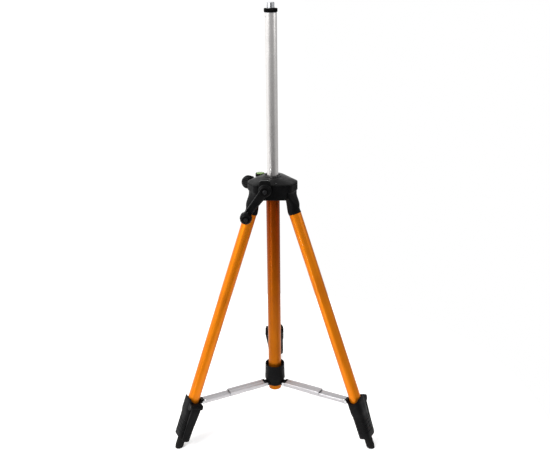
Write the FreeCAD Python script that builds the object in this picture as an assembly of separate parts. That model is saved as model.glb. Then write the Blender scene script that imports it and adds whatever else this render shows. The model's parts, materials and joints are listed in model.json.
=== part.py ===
import FreeCAD, Part
import math
import os

# Elevating tripod for a levelling instrument, legs spread, column raised.
# Millimetres. +Z up, floor at Z = 0, column axis on Z. Legs stand at 90, 210 and 330 degrees.

Vector = FreeCAD.Vector

# --- driving dimensions -------------------------------------------------------------------
AZIMUTHS = {"rear": 90, "left": 210, "right": 330}
LEG_TILT = 20.53            # leg axis to the vertical, spread
LEG_FOOT_R = 238.7          # leg axis meets the floor at this radius
HINGE_R = 33.0              # leg hinge pin, radius and height
HINGE_Z = 541.0

HEAD_FLAT = 40.0            # column axis to the head's flat sides
HEAD_LOBE = 50.5            # column axis to the ends over the legs
HEAD_CORNER = 13.0
HEAD_BOTTOM = 530.5
HEAD_SPLIT = 560.0          # the cover sits on the body here
SKIRT_Z = 546.0             # lower edge of the head over each leg
SLOT_HALF = 20.6
SLOT_BACK = 23.8
SLOT_TOP = 550.5
HEAD_EDGE = 1.5             # rounding of the lower edge
COLLAR_R = 18.0
COLLAR_TOP = 572.5
COLLAR_LIP = 1.2            # cover above the column bush
CAP_RIM = 2.5
DOME_TOP = 571.0
COLUMN_HOLE_R = 12.6        # through the body
CAP_HOLE_R = 12.3           # through the cover
BUSH_SEAT_R = 14.5

CENTRE_R = 14.0             # orange centre tube
CENTRE_WALL = 1.4
CENTRE_BOTTOM = 72.0
CENTRE_TOP = 545.5

POLE_R = 11.7
POLE_WALL = 1.5
POLE_BOTTOM = 478.0
POLE_TOP = 884.0
STUD_R = 7.9375             # 5/8 inch
STUD_TOP = 903.5
STUD_NECK_R = 7.4           # plain neck that the lock disc turns on
STUD_NECK_TOP = 893.1
PLUG_BOTTOM = 872.5
PLUG_FLANGE_TOP = 885.5
SLOT_END = 872.0            # the rack's slot in the column stops here
RIVET_R = 1.6
RIVET_Z = 878.0
GUIDE_R = 12.5
GUIDE_DEPTH = 3.0           # floor of the guide below the column
GUIDE_RISE = 13.0           # sleeve of the guide round the column
DISC_R = 13.0
DISC_Z = 885.8
DISC_H = 7.0

MODULE = 1.0                # rack and pinion
PINION_TEETH = 9
RACK_HALF = 3.0
RACK_BACK = -7.2
RACK_BOTTOM = 494.0
RACK_TOP = 871.0
RACK_TEETH = (543.0, 868.0)
CRANK_X = -14.7
CRANK_Z = 553.5
CRANK_SHAFT_R = 2.5
CRANK_REACH = 61.7          # shaft to grip
CRANK_ANGLE = 232.8         # direction of the arm at rest, from +X towards +Z
SHAFT_BUSH_R = 4.0
GEAR_SPACE_R = 6.2
COVER_R = 13.0
COVER_FRONT = -49.5
LEDGE_FRONT = -47.0
ARM_FRONT = -55.2
ARM_BACK = -50.2
EYE_R = 10.5
EYE_FRONT = -56.5
ARM_TIP_R = 6.5
SHAFT_FRONT = -57.0
SHAFT_BACK = 3.4
CRANK_SCREW_R = 4.2
CRANK_SCREW_H = 2.0
GRIP_AXLE_R = 2.5
GRIP_AXLE_HEAD_R = 4.4
GRIP_BACK = -55.6
GRIP_LENGTH = 23.2
GRIP_R = 12.2

CLAMP_AZ = 150
CLAMP_Z = 549.0
CLAMP_R = 3.0
CLAMP_TIP_R = 2.2
CLAMP_BOSS_R = 8.5
CLAMP_KNOB_START = 48.5     # radius at which the knob begins
CLAMP_KNOB_R = 14.6
CLAMP_KNOB_LENGTH = 24.0
LEVEL_XY = (-26.5, 27.5)
POD_R = 9.4
POD_TOP = 567.2
VIAL_R = 7.6
VIAL_Z = (562.0, 570.4)
FLUID_R = 6.4
FLUID_Z = (563.0, 569.3)
BUBBLE_R = 2.2

TUBE_R = 12.5               # leg tube
TUBE_WALL = 1.2
TUBE_LOW = 58.0             # along the leg axis from the floor
TUBE_TOP = 533.0
INNER_R = 8.4
INNER_WALL = 1.2
FOOT_TOP = 24.0
FOOT_R = 9.2
INNER_TOP = 440.0

LOCK_LOW = 28.0
LOCK_STEP = 84.0
LOCK_TOP = 119.0
LOCK_HALF = 14.6
UPPER_LOCK_T = (-19.0, 17.2)
LOWER_LOCK_T = (-17.5, 16.2)
SCOOP_R = 14.6              # saddle-shaped rim: the rim is lower on both lever sides
SCOOP_DEPTH = 8.0
EAR_PLACE = 11.9            # middle of each lever ear, outward
EAR_HALF = 1.7
LEVER_PIN = (21.6, 107.0)   # tangential place, place along the leg
LEVER_HALF = 9.9
LEVER_BARREL_R = 6.0
LUG_N = -21.5               # strut pivot on the leg
LUG_S = 112.0

HUB_R = 22.5
HUB_BASE_R = 18.5
HUB_BASE_Z = 84.0
HUB_COLLAR_Z = 96.5
HUB_TOP = 134.5
HUB_PIVOT = (26.0, 89.0)
STRUT_SHEET = 0.8
STRUT_BACK = 3.0            # a half strut starts this far behind its pivot
CHANNEL_HALF = 9.2          # outer half of the strut, on the hub
CHANNEL_TOP = 6.0           # its back over the pivot line
CHANNEL_LOW = -3.0          # its flange edges under the pivot line
CHANNEL_LENGTH = 90.0
BAR_HALF = 8.1              # inner half of the strut, on the leg
BAR_TOP = 3.3               # it rises 1.65 inside the channel early in the fold
BAR_LOW = -4.8
BAR_LENGTH = 88.0
BAR_EARS = 6.5              # the bar has no back up to here, where its ears hold the lug
TONGUE_HALF = 6.6
TONGUE_R = 4.3              # lug and tongue round their pins, both strut ends

RUNNING = 0.05              # radial clearance of a pin in its bore
GAP = 0.3                   # between pieces on different bodies
PIN_R = 3.0
PIN_REACH = 24.2            # the leg hinge pins end inside the head
SMALL_PIN_R = 1.8
SCREW_PLACE = (35.0, 12.0)  # cover screws: radius, degrees past each flat's middle
SCREW_R = 1.6
LEVER_PIN_R = 2.0

X_AXIS = Vector(1, 0, 0)
Y_AXIS = Vector(0, 1, 0)
Z_AXIS = Vector(0, 0, 1)
ORIGIN = Vector(0, 0, 0)


# --- helpers ------------------------------------------------------------------------------
def box(x0, x1, y0, y1, z0, z1):
    return Part.makeBox(x1 - x0, y1 - y0, z1 - z0, Vector(x0, y0, z0))


def rod(radius, z0, z1, x=0.0, y=0.0):
    return Part.makeCylinder(radius, z1 - z0, Vector(x, y, z0), Z_AXIS)


def rod_y(radius, y0, y1, x, z):
    return Part.makeCylinder(radius, y1 - y0, Vector(x, y0, z), Y_AXIS)


def rod_x(radius, x0, x1, y, z):
    return Part.makeCylinder(radius, x1 - x0, Vector(x0, y, z), X_AXIS)


def ring(outer, inner, z0, z1, x=0.0, y=0.0):
    return rod(outer, z0, z1, x, y).cut(rod(inner, z0 - 1, z1 + 1, x, y))


def turned(profile, base=ORIGIN, axis=Z_AXIS):
    """Solid of revolution from (radius, height) points, about an axis through base."""
    points = [Vector(r, 0, z) for r, z in profile]
    wire = Part.makePolygon(points + [points[0]])
    solid = Part.Face(wire).revolve(ORIGIN, Z_AXIS, 360)
    solid.Placement = FreeCAD.Placement(base, FreeCAD.Rotation(Z_AXIS, axis))
    return solid


def slab(points, direction, depth):
    """A closed outline of Vectors pushed along direction."""
    face = Part.Face(Part.makePolygon(points + [points[0]]))
    return face.extrude(direction * depth)


def fused(first, *others):
    return first.multiFuse(list(others)).removeSplitter()


def rounded(solid, radius, keep):
    """Fillet the edges that keep(edge) picks, one radius for all."""
    edges = [e for e in solid.Edges if keep(e)]
    return solid.makeFillet(radius, edges)


def is_upright(edge):
    start, end = edge.Vertexes[0].Point, edge.Vertexes[-1].Point
    return abs(start.x - end.x) < 1e-4 and abs(start.y - end.y) < 1e-4


def at_height(z):
    return lambda edge: all(abs(v.Point.z - z) < 1e-4 for v in edge.Vertexes)


def along_x(edge):
    return abs(edge.Vertexes[0].Point.y - edge.Vertexes[-1].Point.y) < 1e-4


def around(shape, azimuth):
    """Turn a shape built at azimuth 0 (X outward) to its place round the column."""
    turned_shape = shape.copy()
    turned_shape.rotate(ORIGIN, Z_AXIS, azimuth)
    return turned_shape


def on_leg(shape, azimuth):
    """Place a shape built in leg axes (X outward, Y tangential, Z up the leg from the floor)."""
    placed = shape.copy()
    placed.rotate(ORIGIN, Y_AXIS, -LEG_TILT)
    placed.translate(Vector(LEG_FOOT_R, 0, 0))
    placed.rotate(ORIGIN, Z_AXIS, azimuth)
    return placed


def leg_point(s, n=0.0):
    """Radius and height of a point on the leg, s along its axis and n outward."""
    tilt = math.radians(LEG_TILT)
    radius = LEG_FOOT_R - s * math.sin(tilt) + n * math.cos(tilt)
    return radius, s * math.cos(tilt) + n * math.sin(tilt)


def save(name, shape):
    shape.exportStep(os.path.join("parts", name + ".step"))


def group(shapes):
    return Part.makeCompound(shapes)


# --- head ---------------------------------------------------------------------------------
def head_outline(inset=0.0):
    """Corners of the head in plan: flat sides at 30, 150, 270 degrees, ends over the legs."""
    lobe = HEAD_LOBE - inset
    half = (HEAD_FLAT - inset - lobe / 2) / math.cos(math.radians(30))
    corners = []
    for azimuth in (90, 210, 330):
        a = math.radians(azimuth)
        for t in (-half, half):
            corners.append(Vector(lobe * math.cos(a) - t * math.sin(a),
                                  lobe * math.sin(a) + t * math.cos(a), 0))
    return corners


def head_prism(z0, z1, inset=0.0):
    corners = [p + Vector(0, 0, z0) for p in head_outline(inset)]
    prism = slab(corners, Z_AXIS, z1 - z0)
    return rounded(prism, HEAD_CORNER - inset, is_upright)


def clamp_axis_rod(radius, r0, r1):
    """A round bar along the clamp screw's axis, from radius r0 to r1."""
    return around(rod_x(radius, r0, r1, 0, CLAMP_Z), CLAMP_AZ)


def screw_rod(radius, z0, z1, azimuth):
    """A round bar at the cover screw next to the leg at azimuth."""
    place, past = SCREW_PLACE
    return around(rod(radius, z0, z1, place, 0), azimuth + 60 + past)


def head_body():
    body = rounded(head_prism(HEAD_BOTTOM, HEAD_SPLIT), HEAD_EDGE, at_height(HEAD_BOTTOM))
    body = body.fuse(clamp_axis_rod(CLAMP_BOSS_R, 30, 46))
    cuts = [rod(CENTRE_R, HEAD_BOTTOM - 1, CENTRE_TOP), rod(COLUMN_HOLE_R, 500, 600)]
    for azimuth in AZIMUTHS.values():
        outer = box(SLOT_BACK, 70, -SLOT_HALF, SLOT_HALF, HEAD_BOTTOM - 1, SKIRT_Z)
        inner = box(SLOT_BACK, 43.5, -SLOT_HALF, SLOT_HALF, SKIRT_Z - 1, SLOT_TOP)
        pin_hole = rod_y(PIN_R, -PIN_REACH, PIN_REACH, HINGE_R, HINGE_Z)
        cuts += [around(s, azimuth) for s in (outer, inner, pin_hole)]
        cuts.append(screw_rod(2.0, 500, 561, azimuth))
    cuts.append(rod_y(SHAFT_BUSH_R, -60, 0, CRANK_X, CRANK_Z))
    cuts.append(rod_y(GEAR_SPACE_R, -6, 6, CRANK_X, CRANK_Z))
    cuts.append(clamp_axis_rod(CLAMP_R, 0, 60))
    cuts.append(clamp_axis_rod(5.0, 38, 60))
    return body.cut(Part.makeCompound(cuts))


def level_pod(radius, z0, z1):
    return rod(radius, z0, z1, *LEVEL_XY)


def head_cap():
    """Cover: a rim that follows the body, a shallow dome and a collar round the column."""
    rim_top = HEAD_SPLIT + CAP_RIM
    base = head_prism(HEAD_SPLIT, rim_top)
    facets = [Vector(p.x, p.y, rim_top) for p in head_outline(1.0)]
    low = Part.makePolygon(facets + [facets[0]])
    scale = (COLLAR_R + 4) / HEAD_LOBE
    tops = [Vector(p.x * scale, p.y * scale, DOME_TOP - 1.0) for p in head_outline(0)]
    high = Part.makePolygon(tops + [tops[0]])
    dome = Part.makeLoft([low, high], True, True).common(head_prism(rim_top - 1, DOME_TOP, 0.3))
    collar = rounded(rod(COLLAR_R, HEAD_SPLIT + 1, COLLAR_TOP), COLLAR_LIP, at_height(COLLAR_TOP))
    pod = level_pod(POD_R, HEAD_SPLIT, POD_TOP)
    cap = fused(base, dome, collar, pod)
    cuts = [rod(BUSH_SEAT_R, HEAD_SPLIT - 1, COLLAR_TOP - COLLAR_LIP), rod(CAP_HOLE_R, HEAD_SPLIT, 600)]
    cuts.append(level_pod(VIAL_R, VIAL_Z[0], 580))
    for azimuth in AZIMUTHS.values():
        cuts.append(screw_rod(SCREW_R, 559, 566, azimuth))
    return cap.cut(Part.makeCompound(cuts))


def cap_screws():
    """Three screws from below, heads recessed in the body, threads in the cover."""
    screws = []
    for azimuth in AZIMUTHS.values():
        shank = screw_rod(SCREW_R, 533, 565.5, azimuth)
        screws.append(shank.fuse(screw_rod(1.95, 531, 533, azimuth)))
    return group(screws)


def column_bush():
    return ring(BUSH_SEAT_R, POLE_R + 0.1, HEAD_SPLIT + GAP, COLLAR_TOP - COLLAR_LIP)


def centre_tube():
    return ring(CENTRE_R, CENTRE_R - CENTRE_WALL, CENTRE_BOTTOM, CENTRE_TOP)


def centre_plug():
    inner = CENTRE_R - CENTRE_WALL
    plug = rod(inner, CENTRE_BOTTOM, CENTRE_BOTTOM + 14)
    return plug.cut(rod(inner - 2.5, CENTRE_BOTTOM + 2.5, CENTRE_BOTTOM + 20))


def hinge_pin(azimuth):
    return around(rod_y(PIN_R, -PIN_REACH, PIN_REACH, HINGE_R, HINGE_Z), azimuth)


def gear_cover():
    """Round boss on the front flat that carries the outer end of the crank shaft."""
    cover = rod_y(COVER_R, COVER_FRONT, -HEAD_FLAT, CRANK_X, CRANK_Z)
    cover = rounded(cover, 2.0, lambda e: all(abs(v.Point.y - COVER_FRONT) < 1e-4 for v in e.Vertexes))
    ledge = box(CRANK_X - COVER_R, CRANK_X + COVER_R, LEDGE_FRONT, -HEAD_FLAT, HEAD_BOTTOM + 3, CRANK_Z)
    return fused(cover, ledge).cut(rod_y(SHAFT_BUSH_R, -60, 0, CRANK_X, CRANK_Z))


def crank_bushes():
    bore = CRANK_SHAFT_R + RUNNING
    spans = ((COVER_FRONT, -42.0), (-14.0, -7.0))
    return group([rod_y(SHAFT_BUSH_R, a, b, CRANK_X, CRANK_Z).cut(rod_y(bore, a - 1, b + 1, CRANK_X, CRANK_Z))
                  for a, b in spans])


def level_vial():
    cup = rounded(level_pod(VIAL_R, *VIAL_Z), 1.2, at_height(VIAL_Z[1]))
    return cup.cut(level_pod(FLUID_R, *FLUID_Z))


def level_fluid():
    bubble = Part.makeSphere(BUBBLE_R, Vector(*LEVEL_XY, FLUID_Z[1]))
    return level_pod(FLUID_R, *FLUID_Z).cut(bubble)


# --- column -------------------------------------------------------------------------------
def pole_tube():
    tube = ring(POLE_R, POLE_R - POLE_WALL, POLE_BOTTOM, POLE_TOP)
    return tube.cut(box(-20, 0, -RACK_HALF - 0.1, RACK_HALF + 0.1, POLE_BOTTOM - 1, SLOT_END))


def rack_points(z_low, z_high):
    """Tooth outline of the rack in the XZ plane, a space centred on the pinion's axis."""
    pitch = math.pi * MODULE
    pitch_x = CRANK_X + MODULE * PINION_TEETH / 2
    tip_x, root_x = pitch_x - 0.95 * MODULE, pitch_x + 1.25 * MODULE
    first = math.ceil((z_low - CRANK_Z) / pitch) + 0.5
    count = int((z_high - CRANK_Z) / pitch - first)
    points = []
    for k in range(count):
        centre = CRANK_Z + (first + k) * pitch
        points += [Vector(root_x, 0, centre - 1.12), Vector(tip_x, 0, centre - 0.36),
                   Vector(tip_x, 0, centre + 0.36), Vector(root_x, 0, centre + 1.12)]
    return points, root_x


def rack():
    teeth, root_x = rack_points(*RACK_TEETH)
    outline = [Vector(RACK_BACK, 0, RACK_BOTTOM), Vector(root_x, 0, RACK_BOTTOM)] + teeth
    outline += [Vector(root_x, 0, RACK_TOP), Vector(RACK_BACK, 0, RACK_TOP)]
    solid = slab(outline, Y_AXIS, 2 * RACK_HALF)
    solid.translate(Vector(0, -RACK_HALF, 0))
    seat = box(-9.0, RACK_BACK + 0.6, -6.5, 6.5, RACK_BOTTOM, RACK_TOP)
    seat = seat.common(rod(POLE_R - POLE_WALL, RACK_BOTTOM, RACK_TOP))
    return fused(solid, seat)


def stud_plug():
    """End cap of the column, with a plain neck under the stud for the lock disc."""
    inner = POLE_R - POLE_WALL
    return turned([(0, PLUG_BOTTOM), (inner, PLUG_BOTTOM), (inner, POLE_TOP), (POLE_R, POLE_TOP),
                   (POLE_R, PLUG_FLANGE_TOP), (STUD_NECK_R, PLUG_FLANGE_TOP), (STUD_NECK_R, STUD_NECK_TOP),
                   (STUD_R, STUD_NECK_TOP), (STUD_R, STUD_TOP - 1), (STUD_R - 1, STUD_TOP), (0, STUD_TOP)])


def pole_rivets():
    heads = [around(rod_x(RIVET_R, POLE_R - 0.5, POLE_R + 0.5, 0, RIVET_Z), a) for a in (95, 215, 335)]
    return group([head.cut(rod(POLE_R, POLE_BOTTOM, POLE_TOP)) for head in heads])


def pole_guide():
    """Nylon guide on the column's lower end, running inside the centre tube."""
    block = rod(GUIDE_R, POLE_BOTTOM - GUIDE_DEPTH, POLE_BOTTOM + GUIDE_RISE)
    return block.cut(rod(POLE_R, POLE_BOTTOM, POLE_TOP))


def lock_disc():
    disc = rod(DISC_R, DISC_Z, DISC_Z + DISC_H)
    disc = disc.makeChamfer(0.8, [e for e in disc.Edges if len(e.Vertexes) == 1])
    return disc.cut(rod(STUD_NECK_R + RUNNING, DISC_Z - 1, DISC_Z + DISC_H + 1))


# --- crank --------------------------------------------------------------------------------
def grip_xz():
    a = math.radians(CRANK_ANGLE)
    return CRANK_X + CRANK_REACH * math.cos(a), CRANK_Z + CRANK_REACH * math.sin(a)


def crank_shaft():
    return rod_y(CRANK_SHAFT_R, SHAFT_FRONT, SHAFT_BACK, CRANK_X, CRANK_Z)


def pinion():
    """Nine straight teeth, one of them centred on the rack's space at +X."""
    pitch_r = MODULE * PINION_TEETH / 2
    root, tip = pitch_r - 1.15 * MODULE, pitch_r + 0.95 * MODULE
    shape = [(-0.24, root), (-0.155, pitch_r), (-0.065, tip), (0.065, tip), (0.155, pitch_r), (0.24, root)]
    points = []
    for k in range(PINION_TEETH):
        centre = 2 * math.pi * k / PINION_TEETH
        for angle, r in shape:
            points.append(Vector(CRANK_X + r * math.cos(centre + angle), -2.8,
                                 CRANK_Z + r * math.sin(centre + angle)))
    return slab(points, Y_AXIS, 5.6).cut(rod_y(CRANK_SHAFT_R, -10, 10, CRANK_X, CRANK_Z))


def crank_arm():
    gx, gz = grip_xz()
    eye = rod_y(EYE_R, EYE_FRONT, ARM_BACK, CRANK_X, CRANK_Z)
    tip = rod_y(ARM_TIP_R, ARM_FRONT, ARM_BACK, gx, gz)
    a = math.radians(CRANK_ANGLE + 90)
    side = Vector(math.cos(a), 0, math.sin(a))
    near, far = Vector(CRANK_X, ARM_FRONT, CRANK_Z), Vector(gx, ARM_FRONT, gz)
    wide, narrow = side * 9, side * 6.3
    blade = slab([near + wide, far + narrow, far - narrow, near - wide], Y_AXIS, ARM_BACK - ARM_FRONT)
    arm = fused(eye, tip, blade)
    return arm.cut(rod_y(CRANK_SHAFT_R, -80, 0, CRANK_X, CRANK_Z)).cut(rod_y(GRIP_AXLE_R, -80, 0, gx, gz))


def crank_screw():
    return rod_y(CRANK_SCREW_R, SHAFT_FRONT - CRANK_SCREW_H, SHAFT_FRONT, CRANK_X, CRANK_Z)


def grip_axle():
    gx, gz = grip_xz()
    head_back = GRIP_BACK - GRIP_LENGTH - 0.7
    return rod_y(GRIP_AXLE_R, head_back, ARM_BACK, gx, gz).fuse(
        rod_y(GRIP_AXLE_HEAD_R, head_back - 1.5, head_back, gx, gz))


def crank_grip():
    gx, gz = grip_xz()
    bore = GRIP_AXLE_R + RUNNING
    profile = [(bore, 0), (8.2, 0), (10.7, 2.5), (GRIP_R, 8), (GRIP_R, 14), (11.0, 19.5), (7.6, GRIP_LENGTH),
               (bore, GRIP_LENGTH)]
    return turned(profile, Vector(gx, GRIP_BACK, gz), Vector(0, -1, 0))


# --- clamp knob ---------------------------------------------------------------------------
def clamp_knob():
    profile = [(CLAMP_R, 0), (6.5, 0), (13.0, 2.0), (CLAMP_KNOB_R, 5.5), (CLAMP_KNOB_R, 12.5), (11.8, 19.5),
               (8.0, 23.2), (CLAMP_R, CLAMP_KNOB_LENGTH)]
    a = math.radians(CLAMP_AZ)
    base = Vector(CLAMP_KNOB_START * math.cos(a), CLAMP_KNOB_START * math.sin(a), CLAMP_Z)
    return turned(profile, base, Vector(math.cos(a), math.sin(a), 0))


def clamp_screw():
    """Screw with a turned-down tip that stops just short of the column."""
    tip = clamp_axis_rod(CLAMP_TIP_R, POLE_R + GAP, 14.5)
    shank = clamp_axis_rod(CLAMP_R - RUNNING, 14.5, 48)
    return fused(shank, clamp_axis_rod(CLAMP_R, 48, CLAMP_KNOB_START + CLAMP_KNOB_LENGTH - 0.5), tip)


# --- legs ---------------------------------------------------------------------------------
def section(centre, u_axis, v_axis, half_u, half_v, power):
    """A closed smooth section: a superellipse through sixteen points."""
    points = []
    for k in range(16):
        a = 2 * math.pi * k / 16
        cu, sv = math.cos(a), math.sin(a)
        u = half_u * math.copysign(abs(cu) ** (2 / power), cu)
        v = half_v * math.copysign(abs(sv) ** (2 / power), sv)
        points.append(centre + u_axis * u + v_axis * v)
    curve = Part.BSplineCurve()
    curve.interpolate(points, PeriodicFlag=True)
    return Part.Wire([curve.toShape()])


def knuckle():
    """Moulded leg head: a barrel on the hinge pin, a shoulder under the skirt, a round neck."""
    tilt = math.radians(LEG_TILT)
    outward = Vector(math.cos(tilt), 0, math.sin(tilt))
    neck = []
    for s in (TUBE_TOP, 543.0):
        r, z = leg_point(s)
        neck.append(section(Vector(r, 0, z), outward, Y_AXIS, TUBE_R + 0.5, TUBE_R + 0.5, 2.0))
    upper = [section(Vector(45.6, 0, 525.0), X_AXIS, Y_AXIS, 11.5, 14.5, 2.3),
             section(Vector(41.9, 0, 535.0), X_AXIS, Y_AXIS, 8.5, 17.2, 2.8),
             section(Vector(41.7, 0, SKIRT_Z - GAP), X_AXIS, Y_AXIS, 8.5, 18.2, 3.2)]
    body = Part.makeLoft(neck + upper, True, False)
    barrel = rod_y(8.5, -SLOT_HALF + GAP, SLOT_HALF - GAP, HINGE_R, HINGE_Z)
    web = box(HINGE_R, 44, -14, 14, 532.6, SKIRT_Z - GAP)
    shape = fused(body, barrel, web)
    plug = rod(TUBE_R - TUBE_WALL, 498, TUBE_TOP + 6).cut(rod(8.5, 490, 520))
    plug.rotate(ORIGIN, Y_AXIS, -LEG_TILT)
    plug.translate(Vector(LEG_FOOT_R, 0, 0))
    shape = fused(shape, plug)
    return shape.cut(rod_y(PIN_R + RUNNING, -40, 40, HINGE_R, HINGE_Z))


def leg_tube():
    return ring(TUBE_R, TUBE_R - TUBE_WALL, TUBE_LOW, TUBE_TOP)


def lock_prism(t_low, t_high, s0, s1, half, radius):
    block = box(-half, half, t_low, t_high, s0, s1)
    return rounded(block, radius, is_upright)


def lock_housing():
    """Clamp housing on the lower end of the leg tube, with lever ears and the strut lug."""
    upper = lock_prism(*UPPER_LOCK_T, LOCK_STEP - 8, LOCK_TOP, LOCK_HALF, 10.0)
    lower = lock_prism(*LOWER_LOCK_T, LOCK_LOW, LOCK_STEP + 8, LOCK_HALF - 1.0, 9.0)
    pin_t, pin_s = LEVER_PIN
    ears = []
    for middle in (-EAR_PLACE, EAR_PLACE):
        low, high = middle - EAR_HALF, middle + EAR_HALF
        plate = box(low, high, 10, pin_t, pin_s - 9, pin_s + 5)
        ears.append(plate.fuse(rod_x(5.0, low, high, pin_t, pin_s)))
    lug = box(LUG_N, -12.6, -TONGUE_HALF, TONGUE_HALF, LUG_S - TONGUE_R, LUG_S + TONGUE_R)
    nose = rod_y(TONGUE_R, -TONGUE_HALF, TONGUE_HALF, LUG_N, LUG_S)
    shape = fused(upper, lower, lug, nose, *ears)
    scoop_s = LOCK_TOP - SCOOP_DEPTH + SCOOP_R
    cuts = [rod_y(SCOOP_R, -30, 30, 0, scoop_s), rod(TUBE_R, TUBE_LOW, 200),
            rod(INNER_R + RUNNING, 0, TUBE_LOW + 1),
            rod_y(SMALL_PIN_R, -20, 20, LUG_N, LUG_S), rod_x(LEVER_PIN_R, -30, 30, pin_t, pin_s),
            rod_x(LEVER_BARREL_R + 0.4, EAR_HALF - EAR_PLACE, EAR_PLACE - EAR_HALF, pin_t, pin_s)]
    return shape.cut(Part.makeCompound(cuts))


def lock_lever():
    """Flip lever: a barrel on its pin and a long curved blade down the side of the housing."""
    pin_t, pin_s = LEVER_PIN
    barrel = rod_x(LEVER_BARREL_R, -LEVER_HALF, LEVER_HALF, pin_t, pin_s)
    outline = [Vector(-LEVER_HALF, t, s) for t, s in
               ((17.5, 101), (17.0, 60), (16.7, 34), (17.4, 24), (20.0, 23), (20.9, 34), (22.4, 60),
                (25.6, 84), (27.4, 101), (24, 107))]
    blade = slab(outline, X_AXIS, 2 * LEVER_HALF)
    lever = fused(barrel, blade)
    return lever.cut(rod_x(LEVER_PIN_R + RUNNING, -30, 30, pin_t, pin_s))


def lever_pin():
    pin_t, pin_s = LEVER_PIN
    return rod_x(LEVER_PIN_R, -14.2, 14.2, pin_t, pin_s)


def lug_pin():
    """Strut pivot on the leg: fixed in the lug, running in the strut's ears."""
    return rod_y(SMALL_PIN_R, -8.6, 8.6, LUG_N, LUG_S)


def inner_leg():
    return ring(INNER_R, INNER_R - INNER_WALL, FOOT_TOP, INNER_TOP)


def inner_bush():
    return ring(TUBE_R - TUBE_WALL - 0.1, INNER_R, INNER_TOP - 16, INNER_TOP - 1)


def foot():
    """Moulded foot with three grip grooves; its sole is cut level with the floor in place."""
    profile = [(0, -8), (8.4, -8), (8.4, 2)]
    for k in range(3):
        z = 4.0 + 5.0 * k
        profile += [(FOOT_R, z), (FOOT_R, z + 3.2), (FOOT_R - 0.8, z + 3.8), (FOOT_R - 0.8, z + 4.4)]
    inner = INNER_R - INNER_WALL
    profile += [(FOOT_R, 19.5), (FOOT_R, FOOT_TOP), (inner, FOOT_TOP), (inner, 50), (inner - 2, 52), (0, 52)]
    return turned(profile)


def level_sole(placed):
    return placed.cut(box(-400, 400, -400, 400, -60, 0))


# --- spreader -----------------------------------------------------------------------------
def hub():
    collar = rounded(rod(HUB_R, HUB_COLLAR_Z, HUB_TOP), 1.5, lambda e: len(e.Vertexes) == 1)
    base = rod(HUB_BASE_R, HUB_BASE_Z, HUB_COLLAR_Z + 1)
    r, z = HUB_PIVOT
    tongue = box(15, r, -TONGUE_HALF, TONGUE_HALF, z - TONGUE_R, z + TONGUE_R)
    tongue = tongue.fuse(rod_y(TONGUE_R, -TONGUE_HALF, TONGUE_HALF, r, z))
    tongues = [around(tongue, azimuth) for azimuth in AZIMUTHS.values()]
    holes = [around(rod_y(SMALL_PIN_R, -20, 20, r, z), a) for a in AZIMUTHS.values()]
    shape = fused(collar, base, *tongues)
    return shape.cut(Part.makeCompound([rod(CENTRE_R + 0.08, 50, 200)] + holes))


def hub_pins():
    r, z = HUB_PIVOT
    return group([around(rod_y(SMALL_PIN_R, -10.0, 10.0, r, z), a) for a in AZIMUTHS.values()])


def folded_sheet(length, half, low, top):
    """Sheet channel along X from its pivot at the origin, open below."""
    outside = box(-STRUT_BACK, length, -half, half, low, top)
    corners = [e for e in outside.Edges if at_height(top)(e) and along_x(e)]
    outside = outside.makeFillet(1.5, corners)
    inner = half - STRUT_SHEET
    return outside.cut(box(-10, length + 10, -inner, inner, -20, top - STRUT_SHEET))


def in_strut_line(shape, from_leg):
    """Place a half strut: its pivot is on the hub, or on the leg and pointing back."""
    hub_r, hub_z = HUB_PIVOT
    lug_r, lug_z = leg_point(LUG_S, LUG_N)
    slope = math.degrees(math.atan2(lug_z - hub_z, lug_r - hub_r))
    placed = shape.copy()
    if from_leg:
        placed.rotate(ORIGIN, Z_AXIS, 180)
    placed.rotate(ORIGIN, Y_AXIS, -slope)
    placed.translate(Vector(lug_r, 0, lug_z) if from_leg else Vector(hub_r, 0, hub_z))
    return placed


def strut_channel():
    half = folded_sheet(CHANNEL_LENGTH, CHANNEL_HALF, CHANNEL_LOW, CHANNEL_TOP)
    pin_hole = rod_y(SMALL_PIN_R + RUNNING, -20, 20, 0, 0)
    return in_strut_line(half.cut(pin_hole), False)


def strut_bar():
    """Narrower half on the leg, with bare ears at the lug; it slides inside the channel."""
    half = folded_sheet(BAR_LENGTH, BAR_HALF, BAR_LOW, BAR_TOP)
    inner = BAR_HALF - STRUT_SHEET
    pin_hole = rod_y(SMALL_PIN_R + RUNNING, -20, 20, 0, 0)
    half = half.cut(box(-10, BAR_EARS, -inner, inner, -20, 20))
    return in_strut_line(half.cut(pin_hole), True)


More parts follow.
